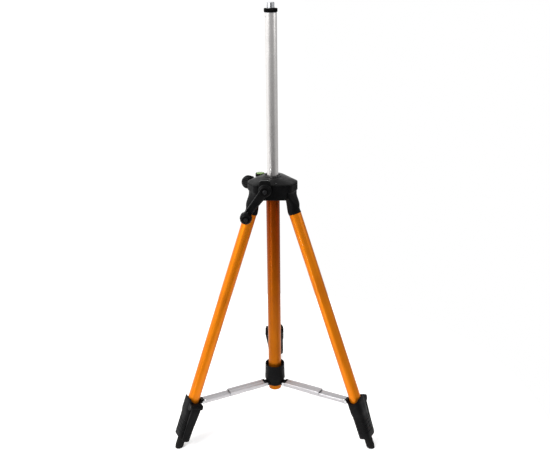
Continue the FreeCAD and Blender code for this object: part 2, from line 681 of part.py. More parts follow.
# --- build --------------------------------------------------------------------------------
def build():
    os.makedirs("parts", exist_ok=True)
    save("head_body", head_body())
    save("head_cap", head_cap())
    save("cap_screws", cap_screws())
    save("column_bush", column_bush())
    save("centre_tube", centre_tube())
    save("centre_plug", centre_plug())
    save("leg_hinge_pins", group([hinge_pin(a) for a in AZIMUTHS.values()]))
    save("gear_cover", gear_cover())
    save("crank_bushes", crank_bushes())
    save("level_vial", level_vial())
    save("level_fluid", level_fluid())
    save("pole_tube", pole_tube())
    save("rack", rack())
    save("stud_plug", stud_plug())
    save("pole_rivets", pole_rivets())
    save("pole_guide", pole_guide())
    save("lock_disc", lock_disc())
    save("crank_shaft", crank_shaft())
    save("pinion", pinion())
    save("crank_arm", crank_arm())
    save("crank_screw", crank_screw())
    save("grip_axle", grip_axle())
    save("crank_grip", crank_grip())
    save("clamp_knob", clamp_knob())
    save("clamp_screw", clamp_screw())
    save("spreader_hub", hub())
    save("hub_pins", hub_pins())
    leg_pieces = {"leg_tube": leg_tube(), "lock_housing": lock_housing(), "lock_lever": lock_lever(),
                  "lever_pin": lever_pin(), "lug_pin": lug_pin(), "inner_leg": inner_leg(),
                  "inner_bush": inner_bush()}
    head_of_leg, foot_piece = knuckle(), foot()
    channel, bar = strut_channel(), strut_bar()
    for side, azimuth in AZIMUTHS.items():
        save("knuckle_" + side, around(head_of_leg, azimuth))
        save("foot_" + side, level_sole(on_leg(foot_piece, azimuth)))
        save("strut_channel_" + side, around(channel, azimuth))
        save("strut_bar_" + side, around(bar, azimuth))
        for name, shape in leg_pieces.items():
            save(name + "_" + side, on_leg(shape, azimuth))


build()
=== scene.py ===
import bmesh
import bpy
import json
import math
from mathutils import Matrix, Vector


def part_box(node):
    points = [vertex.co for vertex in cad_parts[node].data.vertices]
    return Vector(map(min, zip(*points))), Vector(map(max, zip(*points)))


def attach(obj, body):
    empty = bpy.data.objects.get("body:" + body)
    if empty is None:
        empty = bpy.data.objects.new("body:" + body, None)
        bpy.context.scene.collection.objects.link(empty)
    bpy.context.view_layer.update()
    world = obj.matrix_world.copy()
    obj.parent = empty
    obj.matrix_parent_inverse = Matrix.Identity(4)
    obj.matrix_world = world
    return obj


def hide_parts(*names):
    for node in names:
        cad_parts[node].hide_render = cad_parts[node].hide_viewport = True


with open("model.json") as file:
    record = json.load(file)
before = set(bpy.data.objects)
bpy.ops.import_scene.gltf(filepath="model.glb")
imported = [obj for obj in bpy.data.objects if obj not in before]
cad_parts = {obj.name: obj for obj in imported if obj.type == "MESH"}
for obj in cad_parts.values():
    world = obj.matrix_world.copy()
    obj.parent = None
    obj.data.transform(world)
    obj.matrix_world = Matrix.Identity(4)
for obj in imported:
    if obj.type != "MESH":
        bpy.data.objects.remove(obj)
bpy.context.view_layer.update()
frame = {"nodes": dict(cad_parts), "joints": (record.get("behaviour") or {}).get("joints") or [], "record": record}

# Elevating tripod. Metres; sizes below are in millimetres and go through MM.
MM = 0.001
LEGS = ("rear", "left", "right")
JOINTS = {joint["name"]: joint for joint in frame["joints"]}
MOUNTS = {mount["name"]: mount for mount in frame["record"]["mounts"]}
NODES = frame["nodes"]


# --- material helpers ---------------------------------------------------------------------
class Surface:
    """A node material under construction: a Principled shader and what drives it."""

    def __init__(self, name, color, roughness, metallic=0.0):
        self.material = bpy.data.materials.new(name)
        self.material.use_nodes = True
        self.tree = self.material.node_tree
        self.shader = self.tree.nodes["Principled BSDF"]
        self.shader.inputs["Base Color"].default_value = (*color, 1.0)
        self.shader.inputs["Roughness"].default_value = roughness
        self.shader.inputs["Metallic"].default_value = metallic
        self.material.diffuse_color = (*color, 1.0)

    def node(self, kind, **values):
        made = self.tree.nodes.new("ShaderNode" + kind)
        for key, value in values.items():
            setattr(made, key, value)
        return made

    def link(self, source, target):
        self.tree.links.new(source, target)

    def coordinates(self, scale=(1, 1, 1), turn=None):
        """Object coordinates in millimetres, turned so that Z runs along a tube, then scaled."""
        place = self.node("TexCoord").outputs["Object"]
        if turn is not None:
            turned = self.node("Mapping", vector_type="POINT")
            turned.inputs["Rotation"].default_value = turn
            self.link(place, turned.inputs["Vector"])
            place = turned.outputs["Vector"]
        scaled = self.node("Mapping", vector_type="POINT")
        scaled.inputs["Scale"].default_value = [s / MM for s in scale]
        self.link(place, scaled.inputs["Vector"])
        return scaled.outputs["Vector"]

    def noise(self, place, scale, detail=3.0, rough=0.5):
        made = self.node("TexNoise")
        made.inputs["Scale"].default_value = scale
        made.inputs["Detail"].default_value = detail
        made.inputs["Roughness"].default_value = rough
        self.link(place, made.inputs["Vector"])
        return made.outputs["Fac"]

    def spread(self, value, low, high, start=0.3, end=0.7):
        """value from start..end mapped to low..high."""
        made = self.node("MapRange")
        made.inputs["From Min"].default_value = start
        made.inputs["From Max"].default_value = end
        made.inputs["To Min"].default_value = low
        made.inputs["To Max"].default_value = high
        self.link(value, made.inputs["Value"])
        return made.outputs["Result"]

    def mixed(self, factor, first, second):
        made = self.node("Mix", data_type="RGBA")
        for socket, value in ((6, first), (7, second)):
            if hasattr(value, "links"):
                self.link(value, made.inputs[socket])
            else:
                made.inputs[socket].default_value = (*value, 1.0)
        if hasattr(factor, "links"):
            self.link(factor, made.inputs[0])
        else:
            made.inputs[0].default_value = factor
        return made.outputs[2]

    def set_color(self, source):
        self.link(source, self.shader.inputs["Base Color"])

    def set_roughness(self, source):
        self.link(source, self.shader.inputs["Roughness"])

    def bump(self, height, strength, distance):
        """Bump from a height in 0..1, distance in millimetres. Stacks on the last one."""
        made = self.node("Bump")
        made.inputs["Strength"].default_value = strength
        made.inputs["Distance"].default_value = distance * MM
        self.link(height, made.inputs["Height"])
        normal = self.shader.inputs["Normal"]
        if normal.links:
            self.link(normal.links[0].from_socket, made.inputs["Normal"])
        self.link(made.outputs["Normal"], normal)


def tube_turn(direction):
    """Mapping angles that bring a tube's direction on to Z."""
    return Vector(direction).rotation_difference(Vector((0, 0, 1))).to_euler()


def plastic(name, color=(0.0022, 0.0022, 0.0024), roughness=0.42, grain=1.0, gloss=0.06):
    """Moulded black plastic: spark-eroded grain, faint flow marks, rubbed shinier in places."""
    made = Surface(name, color, roughness)
    place = made.coordinates()
    flow = made.noise(place, 0.035, 2.0)
    fine = made.noise(place, 1.6 * grain, 2.0)
    rub = made.noise(place, 0.12, 4.0, 0.6)
    lighter = [c * 1.8 + 0.0010 for c in color]
    made.set_color(made.mixed(made.spread(flow, 0.0, 0.55), color, lighter))
    made.set_roughness(made.spread(rub, roughness - 0.10, roughness + 0.12))
    made.bump(fine, 0.35, 0.10)
    made.bump(flow, 0.30, 0.35)
    made.shader.inputs["Specular IOR Level"].default_value = gloss
    return made.material


def rubber(name):
    """Dull black rubber with pale dust in patches."""
    made = Surface(name, (0.006, 0.006, 0.006), 0.7)
    place = made.coordinates()
    dust = made.noise(place, 0.25, 5.0, 0.7)
    clean, dusty = (0.005, 0.005, 0.005), (0.030, 0.028, 0.025)
    made.set_color(made.mixed(made.spread(dust, 0.0, 0.5, 0.5, 0.75), clean, dusty))
    made.set_roughness(made.spread(dust, 0.6, 0.85))
    made.bump(made.noise(place, 2.5), 0.4, 0.12)
    made.shader.inputs["Specular IOR Level"].default_value = 0.12
    return made.material


def orange_tube(name, direction, depth=1.0, painted_shade_span=None, coat=0.12):
    """Satin orange finish on drawn tube: faint draw lines, hue drift and small handling scuffs.
    depth below 1 darkens it all as painted shade; the shade range, if given, is the height in mm over which
    painted shade deepens upwards."""
    colors = (0.68, 0.180, 0.002), (0.57, 0.140, 0.002), (0.80, 0.250, 0.006), (0.66, 0.27, 0.05)
    # depth below 1 darkens every colour here: painted shade for a tube that stands in shade.
    base, deep, pale, scuffed = ([c * depth for c in color] for color in colors)
    made = Surface(name, base, 0.34, 0.60)
    turn = tube_turn(direction)
    along = made.coordinates((1.0, 1.0, 0.012), turn)
    around = made.coordinates((1.0, 1.0, 1.0), turn)
    lines = made.noise(along, 1.1, 4.0, 0.6)
    drift = made.noise(around, 0.02, 2.0)
    scuffs = made.noise(around, 0.16, 8.0, 0.72)
    tone = made.mixed(made.spread(drift, 0.0, 1.0), base, deep)
    tone = made.mixed(made.spread(lines, 0.0, 0.35), tone, pale)
    tone = made.mixed(made.spread(scuffs, 0.0, 0.4, 0.68, 0.82), tone, scuffed)
    # Painted shade: a dark colour mixed in upwards over the given heights, for the shade cast on the tube from
    # above.
    if painted_shade_span:
        split = made.node("SeparateXYZ")
        made.link(made.coordinates(), split.inputs[0])
        painted_shade_color = (0.22, 0.016, 0.0)
        tone = made.mixed(made.spread(split.outputs["Z"], 0.0, 0.8, *painted_shade_span), tone, painted_shade_color)
    made.set_color(tone)
    made.set_roughness(made.spread(lines, 0.29, 0.44))
    made.bump(lines, 0.18, 0.05)
    made.shader.inputs["Specular IOR Level"].default_value = 0.06
    made.shader.inputs["Coat Weight"].default_value = coat
    made.shader.inputs["Coat Roughness"].default_value = 0.08
    return made.material


def bare_metal(name, direction, color=(0.80, 0.81, 0.83), roughness=0.26, lines_scale=1.2):
    """Drawn or rolled bare metal: streaks along its length, fine scratches, dull patches."""
    made = Surface(name, color, roughness, 1.0)
    turn = tube_turn(direction)
    along = made.coordinates((1.0, 1.0, 0.02), turn)
    around = made.coordinates((1.0, 1.0, 1.0), turn)
    lines = made.noise(along, lines_scale, 5.0, 0.65)
    patches = made.noise(around, 0.06, 3.0)
    scratch = made.noise(made.coordinates((0.25, 0.25, 2.5), turn), 0.5, 6.0, 0.75)
    dull = [c * 0.72 for c in color]
    tone = made.mixed(made.spread(lines, 0.0, 0.6), color, dull)
    tone = made.mixed(made.spread(patches, 0.0, 0.25), tone, dull)
    made.set_color(tone)
    made.set_roughness(made.spread(lines, roughness - 0.07, roughness + 0.12))
    made.bump(lines, 0.22, 0.05)
    made.bump(scratch, 0.10, 0.04)
    made.shader.inputs["Anisotropic"].default_value = 0.3
    return made.material


def clear_lens(name):
    """Clear plastic, a little scratched."""
    made = Surface(name, (0.93, 0.97, 0.93), 0.05)
    made.shader.inputs["Transmission Weight"].default_value = 0.92
    made.shader.inputs["IOR"].default_value = 1.45
    made.set_roughness(made.spread(made.noise(made.coordinates(), 0.8), 0.03, 0.10))
    return made.material


def green_fluid(name):
    """Yellow-green level fluid with a faint painted glow from emission."""
    made = Surface(name, (0.32, 0.62, 0.04), 0.12)
    place = made.coordinates()
    drift = made.noise(place, 0.15)
    made.set_color(made.mixed(made.spread(drift, 0.0, 1.0), (0.26, 0.56, 0.03), (0.42, 0.74, 0.08)))
    made.shader.inputs["Transmission Weight"].default_value = 0.35
    # Painted glow: a little emission makes the fluid look lit from within.
    made.shader.inputs["Emission Color"].default_value = (0.3, 0.6, 0.05, 1.0)
    made.shader.inputs["Emission Strength"].default_value = 0.08
    return made.material


UP = (0, 0, 1)
ACROSS = (0, 1, 0)
BLACK = plastic("black_plastic")
BLACK_SMOOTH = plastic("black_nylon", (0.0025, 0.0025, 0.0028), 0.32, 0.6)
CAP_BLACK = plastic("cap_plastic", roughness=0.38, gloss=0.15)
RUBBER = rubber("rubber_foot")
POLE_METAL = bare_metal("drawn_aluminium", UP, (0.87, 0.845, 0.83))
ZINC = bare_metal("zinc_steel", UP, (0.62, 0.63, 0.64), 0.32)
RACK_STEEL = bare_metal("rack_steel", UP, (0.34, 0.35, 0.37), 0.38)
DISC_BLACK = plastic("black_disc", (0.0015, 0.0015, 0.0016), 0.38, 0.7, 0.05)
DARK_STEEL = bare_metal("blackened_steel", ACROSS, (0.045, 0.045, 0.048), 0.38)
BRASS = bare_metal("turned_brass", ACROSS, (0.72, 0.52, 0.22), 0.28)
LENS = clear_lens("vial_lens")
FLUID = green_fluid("vial_fluid")
# The centre tube's orange is the leg orange darkened all over and darker still towards the head: painted shade for
# the shade under the head.
PAINTED_SHADE_CENTRE_ORANGE = orange_tube("orange_centre_painted_shade", UP, 0.58, (200.0, 560.0), 0.04)
LEG_AXIS = {leg: [-v for v in JOINTS[f"inner_{leg}_slide"]["axis"]] for leg in LEGS}
LEG_ORANGE = {leg: orange_tube("orange_" + leg, LEG_AXIS[leg]) for leg in LEGS}
LEG_METAL = {leg: bare_metal("inner_tube_" + leg, LEG_AXIS[leg]) for leg in LEGS}


def strut_direction(leg):
    """Way from a strut's pivot on the hub to its pivot on the leg."""
    hub = Vector(JOINTS[f"channel_{leg}_turn"]["pos_m"])
    return Vector(JOINTS[f"bar_{leg}_turn"]["pos_m"]) - hub


STRUT_COLOR = (0.52, 0.51, 0.525)
STRUT_METAL = {leg: bare_metal("strut_sheet_" + leg, strut_direction(leg), STRUT_COLOR, 0.36, 0.8)
               for leg in LEGS}
STUD_METAL = bare_metal("stud_steel", UP, (0.72, 0.73, 0.75), 0.22)
RIVET_METAL = bare_metal("rivet_metal", UP, (0.66, 0.67, 0.68), 0.3)


def paint(node, material):
    """Give a CAD node its material in every slot."""
    data = NODES[node].data
    if not data.materials:
        data.materials.append(material)
    for slot_index in range(len(data.materials)):
        data.materials[slot_index] = material


NODE_PAINT = {
    "head_body": BLACK, "head_cap": BLACK, "cap_screws": ZINC, "column_bush": BLACK_SMOOTH,
    "centre_tube": PAINTED_SHADE_CENTRE_ORANGE, "centre_plug": BLACK_SMOOTH, "leg_hinge_pins": ZINC,
    "gear_cover": CAP_BLACK, "crank_bushes": BRASS, "level_vial": LENS, "level_fluid": FLUID,
    "pole_tube": POLE_METAL, "rack": RACK_STEEL, "stud_plug": POLE_METAL, "pole_rivets": ZINC,
    "pole_guide": BLACK_SMOOTH, "lock_disc": DISC_BLACK, "crank_shaft": ZINC, "pinion": RACK_STEEL,
    "crank_arm": BLACK, "crank_screw": DARK_STEEL, "grip_axle": DARK_STEEL,
    "crank_grip": BLACK_SMOOTH, "clamp_knob": BLACK, "clamp_screw": ZINC, "spreader_hub": BLACK,
    "hub_pins": ZINC}
for leg in LEGS:
    NODE_PAINT.update({
        "knuckle_" + leg: BLACK, "leg_tube_" + leg: LEG_ORANGE[leg], "lock_housing_" + leg: BLACK,
        "lock_lever_" + leg: BLACK, "lever_pin_" + leg: DARK_STEEL, "lug_pin_" + leg: ZINC,
        "inner_leg_" + leg: LEG_METAL[leg], "inner_bush_" + leg: BLACK_SMOOTH,
        "foot_" + leg: RUBBER,
        "strut_channel_" + leg: STRUT_METAL[leg], "strut_bar_" + leg: STRUT_METAL[leg]})
for node_name, material in NODE_PAINT.items():
    paint(node_name, material)


# --- mesh helpers -------------------------------------------------------------------------
def skin(loops, ring=False):
    """Vertices and faces between closed loops of equal length. A ring joins the last to the
    first, otherwise both ends are filled."""
    count = len(loops[0])
    faces = []
    pairs = [(k, k + 1) for k in range(len(loops) - 1)]
    if ring:
        pairs.append((len(loops) - 1, 0))
    for first, second in pairs:
        a, b = first * count, second * count
        for k in range(count):
            after = (k + 1) % count
            faces.append((a + k, a + after, b + after, b + k))
    if not ring:
        faces.append(tuple(range(count)))
        faces.append(tuple((len(loops) - 1) * count + k for k in range(count)))
    return [v for loop in loops for v in loop], faces


def joined(*shapes):
    """Several shapes as one list of vertices and faces."""
    vertices, faces = [], []
    for more_vertices, more_faces in shapes:
        start = len(vertices)
        vertices += more_vertices
        faces += [tuple(start + k for k in face) for face in more_faces]
    return vertices, faces


def piece(name, shape, material, body, place=None, stands_for=(), bevel=0.0, crease=32):
    """A new piece in millimetres, put in place, welded, shaded smooth and riding on its body."""
    vertices, faces = shape
    place = place or Matrix()
    data = bpy.data.meshes.new(name)
    data.from_pydata([place @ (Vector(v) * MM) for v in vertices], [], faces)
    grid = bmesh.new()
    grid.from_mesh(data)
    bmesh.ops.remove_doubles(grid, verts=grid.verts, dist=1e-7)
    bmesh.ops.recalc_face_normals(grid, faces=grid.faces)
    grid.to_mesh(data)
    grid.free()
    data.materials.append(material)
    data.shade_smooth()
    data.set_sharp_from_angle(angle=math.radians(crease))
    thing = bpy.data.objects.new(name, data)
    bpy.context.collection.objects.link(thing)
    if bevel:
        soften(thing, bevel)
    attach(thing, body)
    if stands_for:
        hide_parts(*stands_for)
    return thing


def soften(thing, width, segments=2, angle=38):
    """Round the edges of a piece or a CAD node by that many millimetres."""
    bevel = thing.modifiers.new("eased edges", "BEVEL")
    bevel.width = width * MM
    bevel.segments = segments
    bevel.limit_method = "ANGLE"
    bevel.angle_limit = math.radians(angle)
    bevel.harden_normals = True


def eased(points, radius, steps=4, closed=True):
    """The outline with each corner drawn as a curve that starts that far from it at most."""
    result = []
    count = len(points)
    for k, corner in enumerate(points):
        if not closed and k in (0, count - 1):
            result.append(tuple(corner))
            continue
        corner = Vector(corner)
        before, after = Vector(points[k - 1]) - corner, Vector(points[(k + 1) % count]) - corner
        start = corner + before.normalized() * min(radius, before.length * 0.48)
        end = corner + after.normalized() * min(radius, after.length * 0.48)
        for step in range(steps + 1):
            f = step / steps
            result.append(tuple(start * (1 - f) ** 2 + corner * 2 * f * (1 - f) + end * f * f))
    return result


AXIS_R = 0.05       # a turned profile that closes on its axis ends at this radius


def circle(radius, count):
    """Points (x, y) round a circle about the origin."""
    angles = (2 * math.pi * k / count for k in range(count))
    return [(radius * math.cos(a), radius * math.sin(a)) for a in angles]


def turned(profile, count=72, ring=False, wave=None):
    """Profile of (radius, height) turned round Z. wave(angle, height) adds to the radius."""
    loops = []
    for radius, height in profile:
        loop = []
        for k in range(count):
            angle = 2 * math.pi * k / count
            r = radius + (wave(angle, height) if wave else 0.0)
            loop.append((r * math.cos(angle), r * math.sin(angle), height))
        loops.append(loop)
    return skin(loops, ring)


def pushed(outline, low, high):
    """An outline of (x, y) pushed along Z from low to high."""
    return skin([[(x, y, z) for x, y in outline] for z in (low, high)])


def oval(half_x, low_y, high_y, z, power, count=64):
    """Superellipse loop in a Z plane, wide in X about 0 and from low_y to high_y."""
    middle, half_y = (low_y + high_y) / 2, (high_y - low_y) / 2
    loop = []
    for k in range(count):
        angle = 2 * math.pi * k / count
        c, s = math.cos(angle), math.sin(angle)
        x = half_x * math.copysign(abs(c) ** (2 / power), c)
        y = half_y * math.copysign(abs(s) ** (2 / power), s)
        loop.append((x, middle + y, z))
    return loop


def frame_at(origin, x_axis, z_axis):
    """Matrix whose X and Z run along these directions, at origin in metres."""
    z_axis = Vector(z_axis).normalized()
    y_axis = z_axis.cross(Vector(x_axis)).normalized()
    x_axis = y_axis.cross(z_axis)
    turn = Matrix((x_axis, y_axis, z_axis)).transposed().to_4x4()
    return Matrix.Translation(Vector(origin)) @ turn


def leg_frame(leg):
    """Leg axes: X outward, Y round the column, Z up the leg from the middle of its sole."""
    outward = JOINTS[f"lever_{leg}_open"]["axis"]
    return frame_at(MOUNTS["sole_" + leg]["pos_m"], outward, LEG_AXIS[leg])


def upright_frame(leg):
    """Axes at the column's foot: X towards the leg, Z up."""
    foot = Vector(MOUNTS["sole_" + leg]["pos_m"])
    return frame_at((0, 0, 0), (foot.x, foot.y, 0), (0, 0, 1))


# --- column top ---------------------------------------------------------------------------
STUD_R = MOUNTS["stud"]["dims"]["r_mm"]
STUD_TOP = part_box("stud_plug")[1].z / MM
POLE_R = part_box("pole_tube")[1].x / MM
POLE_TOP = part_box("pole_tube")[1].z / MM
THREAD_PITCH = 25.4 / 11
THREAD_DEPTH = 1.15
POLE_WALL = 1.6
RIVET_AZIMUTHS = (95, 215, 335)


def stud():
    """Screw thread on the column's end cap, its crests faded out at the chamfered tip."""
    low, steps, count, chamfer = POLE_TOP + 1.5, 12, 96, 1.3
    rows = int((STUD_TOP - low) / THREAD_PITCH * steps)
    inner = POLE_R - POLE_WALL
    cap = [(inner, POLE_TOP - 8), (inner, POLE_TOP), (POLE_R - 0.3, POLE_TOP),
           (POLE_R, POLE_TOP + 0.4), (POLE_R, low - 0.3), (POLE_R - 0.4, low)]
    loops = [[(x, y, z) for x, y in circle(r, count)] for r, z in cap]
    for row in range(rows + 1):
        z = low + (STUD_TOP - low) * row / rows
        limit = STUD_R - max(0.0, z - (STUD_TOP - chamfer)) * 1.1
        loop = []
        for k in range(count):
            phase = ((z - low) / THREAD_PITCH - k / count) % 1.0
            tooth = min(1.0, max(0.0, abs(2 * phase - 1) * 1.35 - 0.15))
            r = min(limit, STUD_R - THREAD_DEPTH * tooth)
            angle = 2 * math.pi * k / count
            loop.append((r * math.cos(angle), r * math.sin(angle), z))
        loops.append(loop)
    piece("stud", skin(loops), STUD_METAL, "pole", stands_for=["stud_plug"], crease=50)


def lock_disc():
    """Knurled disc that locks the instrument on the stud."""
    low, high = (corner.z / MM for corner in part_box("lock_disc"))
    radius, bore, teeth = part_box("lock_disc")[1].x / MM, STUD_R + 0.05, 40
    edge, side = 0.9, radius - 0.15
    profile = [(bore, low), (radius - edge, low), (side, low + edge), (side, high - edge),
               (radius - edge, high), (bore + 1.6, high), (bore + 1.2, high - 0.5),
               (bore, high - 0.5)]

    def knurl(angle, height):
        inside = low + edge * 0.5 < height < high - edge * 0.5
        return -0.75 * abs(math.sin(teeth * angle / 2)) if inside else 0.0

    piece("knurled_disc", turned(profile, 320, True, knurl), DISC_BLACK, "disc",
          stands_for=["lock_disc"], crease=40)


def pole_rivets():
    """Domed rivets that hold the end cap, pressed a little into the tube."""
    height = sum(corner.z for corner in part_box("pole_rivets")) / 2
    for number, azimuth in enumerate(RIVET_AZIMUTHS):
        a = math.radians(azimuth)
        out = Vector((math.cos(a), math.sin(a), 0))
        place = frame_at(out * (POLE_R - 0.45) * MM + Vector((0, 0, height)), (0, 0, 1), out)
        dome = [(1.75, 0), (1.75, 0.3), (1.6, 0.6), (1.2, 0.8), (0.6, 0.92), (AXIS_R, 0.95)]
        piece(f"rivet_{number}", turned(dome, 24), RIVET_METAL, "pole", place,
              ["pole_rivets"] if number == 0 else ())


# --- head ---------------------------------------------------------------------------------
HEAD_FLAT, HEAD_LOBE, HEAD_CORNER = 40.0, 50.5, 13.0
HEAD_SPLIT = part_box("head_cap")[0].z / MM
COLLAR_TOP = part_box("head_cap")[1].z / MM
COLLAR_R = 18.0
COLLAR_BORE = 14.6


def head_core():
    """Corners of the head's plan before its corners are rounded."""
    flat, lobe = HEAD_FLAT - HEAD_CORNER, HEAD_LOBE - HEAD_CORNER
    half = (flat - lobe / 2) / math.cos(math.radians(30))
    corners = []
    for azimuth in (90, 210, 330):
        a = math.radians(azimuth)
        c, s = math.cos(a), math.sin(a)
        corners += [Vector((lobe * c - t * s, lobe * s + t * c)) for t in (-half, half)]
    return corners


def from_core(point, corners):
    """Distance from a point outside the core to its nearest side."""
    nearest = 1e9
    for k, start in enumerate(corners):
        side = corners[(k + 1) % len(corners)] - start
        f = min(1.0, max(0.0, (point - start).dot(side) / side.length_squared))
        nearest = min(nearest, (start + side * f - point).length)
    return nearest


def head_radii(count):
    """Radius of the head's outline in each direction, found by halving."""
    corners = head_core()
    radii = []
    for k in range(count):
        a = 2 * math.pi * k / count
        way = Vector((math.cos(a), math.sin(a)))
        low, high = HEAD_LOBE - HEAD_CORNER, HEAD_LOBE + HEAD_CORNER
        for _ in range(24):
            middle = (low + high) / 2
            if from_core(way * middle, corners) < HEAD_CORNER:
                low = middle
            else:
                high = middle
        radii.append(low)
    return radii


def head_cap():
    """Cover with a shadow line under its rim, a shallow dome and a raised collar."""
    count, rows = 180, 10
    outline = head_radii(count)
    plan = [(1.1, 0.0), (1.1, 0.5), (0.15, 0.9), (0.0, 1.3), (0.0, 2.2), (0.35, 2.9), (1.2, 3.4)]
    levels = [[r - inset for r in outline] + [HEAD_SPLIT + z] for inset, z in plan]
    for row in range(1, rows + 1):
        f = row / rows
        rise = 3.4 + (COLLAR_TOP - HEAD_SPLIT - 4.6) * f + 0.9 * math.sin(math.pi * f)
        radii = [(r - 1.2) * (1 - f) + (COLLAR_R + 0.7) * f for r in outline]
        levels.append(radii + [HEAD_SPLIT + rise])
    top = COLLAR_TOP - HEAD_SPLIT
    for r, z in ((COLLAR_R, top - 0.7), (COLLAR_R - 0.5, top - 0.15), (COLLAR_R - 1.2, top),
                 (COLLAR_BORE + 0.8, top), (COLLAR_BORE + 0.2, top - 0.4), (COLLAR_BORE, top - 1.2),
                 (COLLAR_BORE, 0.0)):
        levels.append([r] * count + [HEAD_SPLIT + z])
    ways = circle(1.0, count)
    loops = [[(r * x, r * y, level[-1]) for r, (x, y) in zip(level, ways)] for level in levels]
    piece("head_cover", skin(loops, True), CAP_BLACK, "head",
          stands_for=["head_cap"])


def bubble_level():
    """Black bezel with a clear domed lens over green fluid, and a ring mark."""
    low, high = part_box("level_vial")
    centre = (low + high) / 2
    place = Matrix.Translation((centre.x, centre.y, 0))
    top = high.z / MM
    foot_z = HEAD_SPLIT + 2
    bezel = [(7.0, foot_z), (9.6, foot_z), (9.3, top - 2.4), (9.0, top - 1.5), (8.4, top - 1.1),
             (7.9, top - 1.2), (7.6, top - 1.8), (7.5, foot_z + 1)]
    piece("level_bezel", turned(bezel, 64, True), BLACK, "head", place)
    lens = [(7.4, top - 3.0), (7.4, top - 1.3), (7.0, top - 0.9), (5.6, top - 0.45),
            (3.6, top - 0.15), (1.6, top - 0.02), (AXIS_R, top)]
    piece("level_lens", turned(lens, 64), LENS, "head", place, ["level_vial"])
    fluid = [(AXIS_R, foot_z + 1.2), (7.1, foot_z + 1.2), (7.2, top - 2.9), (6.8, top - 2.0),
             (AXIS_R, top - 1.7)]
    piece("level_liquid", turned(fluid, 48), FLUID, "head", place, ["level_fluid"])
    mark = [(2.9, top - 1.55), (3.3, top - 1.55), (3.3, top - 1.3), (2.9, top - 1.3)]
    piece("level_ring_mark", turned(mark, 48, True), BLACK_SMOOTH, "head", place)


def gear_cover():
    """Round boss of the crank with a stepped face, over a ledge that runs down the head's front."""
    low, high = (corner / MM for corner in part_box("gear_cover"))
    pivot = Vector(JOINTS["crank_turn"]["pos_m"]) / MM
    place = frame_at((pivot.x * MM, high.y * MM, pivot.z * MM), (1, 0, 0), (0, -1, 0))
    depth, radius = high.y - low.y, high.x - pivot.x
    bore, sunk = 4.1, -1.5
    face = [(bore, sunk), (radius, sunk), (radius, depth - 2.6), (radius - 0.5, depth - 1.3),
            (radius - 1.6, depth - 0.5), (radius - 2.6, depth - 0.3), (radius - 3.4, depth - 0.9),
            (8.2, depth - 0.9), (7.6, depth), (bore + 0.3, depth), (bore, depth - 0.3)]
    piece("crank_boss", turned(face, 72, True), CAP_BLACK, "head", place,
          ["gear_cover"])
    drop = pivot.z - low.z
    half = [(radius - 0.4, -2.0), (radius - 1.5, drop - 2), (radius - 6.0, drop)]
    ledge = eased([(-x, y) for x, y in half[:1]] + half + [(-x, y) for x, y in half[:0:-1]], 4.0)
    piece("crank_boss_skirt", pushed(ledge, -1.0, depth - 4.0), CAP_BLACK, "head",
          place, bevel=1.2)


# --- crank --------------------------------------------------------------------------------
ARM_DEPTH = 5.0
ARM_NEAR_R, ARM_FAR_R = 9.2, 6.5
GRIP_BORE_R, GRIP_FLUTES = 2.56, 10
CLAMP_START = 48.5      # from the column's axis to the knob's near end
CLAMP_R, CLAMP_BORE_R, CLAMP_LOBES = 14.6, 3.05, 8


def tapered(length, near, far, steps=14):
    """Outline round a circle of radius near at the origin and one of radius far at (length, 0)."""
    lean = math.acos((near - far) / length)
    outline = []
    ends = (0.0, near, lean, 2 * math.pi - lean), (length, far, -lean, lean)
    for centre, radius, start, end in ends:
        for step in range(steps + 1):
            a = start + (end - start) * step / steps
            outline.append((centre + radius * math.cos(a), radius * math.sin(a)))
    return outline


def crank():
    """Dished arm with a hub boss, its retaining screw, and the turned grip."""
    pivot, grip = (Vector(JOINTS[name]["pos_m"]) for name in ("crank_turn", "grip_spin"))
    way = Vector((grip.x - pivot.x, 0, grip.z - pivot.z))
    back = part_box("crank_arm")[1].y
    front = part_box("crank_arm")[0].y
    place = frame_at((pivot.x, back, pivot.z), way, (0, -1, 0))
    length, depth = way.length / MM, ARM_DEPTH
    rows = [(0.7, 0.0), (0.0, 0.7), (0.0, depth - 0.9), (0.3, depth - 0.25), (0.9, depth),
            (1.9, depth), (2.4, depth - 0.3), (2.8, depth - 1.2)]
    loops = [[(x, y, z) for x, y in tapered(length, ARM_NEAR_R - inset, ARM_FAR_R - inset)]
             for inset, z in rows]
    piece("crank_plate", skin(loops), CAP_BLACK, "crank", place, ["crank_arm"])
    tall = (back - front) / MM
    bore = GRIP_BORE_R + 0.04
    boss = [(bore, 0.1), (10.5, 0.1), (10.5, tall - 1.6), (10.1, tall - 0.6), (9.2, tall),
            (6.0, tall), (5.4, tall - 0.8), (bore, tall - 0.8)]
    piece("crank_hub", turned(boss, 64, True), BLACK, "crank", place)
    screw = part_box("crank_screw")
    head_low = (back - screw[1].y) / MM - 0.6
    head_top = (back - screw[0].y) / MM
    head = [(AXIS_R, head_low), (4.2, head_low), (4.2, head_top - 1.0), (3.6, head_top - 0.3),
            (2.4, head_top), (1.8, head_top), (1.5, head_top - 1.0), (AXIS_R, head_top - 1.0)]
    piece("crank_screw_head", turned(head, 40), DARK_STEEL, "crank", place,
          ["crank_screw"])
    grip_low, grip_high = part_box("crank_grip")
    place = frame_at((grip.x, grip_high.y, grip.z), (1, 0, 0), (0, -1, 0))
    tall = (grip_high.y - grip_low.y) / MM
    knob = [(GRIP_BORE_R, 0), (7.4, 0), (8.4, 0.6), (10.4, 2.4), (11.6, 5.0), (12.2, 8.5),
            (12.2, 13.5), (11.8, 17.0), (10.8, 20.0), (9.3, 22.0), (7.2, 23.0), (5.4, tall),
            (4.9, tall - 0.5), (4.7, tall - 1.6), (GRIP_BORE_R, tall - 1.6)]

    def flutes(angle, height):
        return -0.55 * max(0.0, math.sin(GRIP_FLUTES * angle)) if 4.5 < height < 18.0 else 0.0

    piece("grip_knob", turned(knob, 160, True, flutes), BLACK_SMOOTH, "grip",
          place, ["crank_grip"])


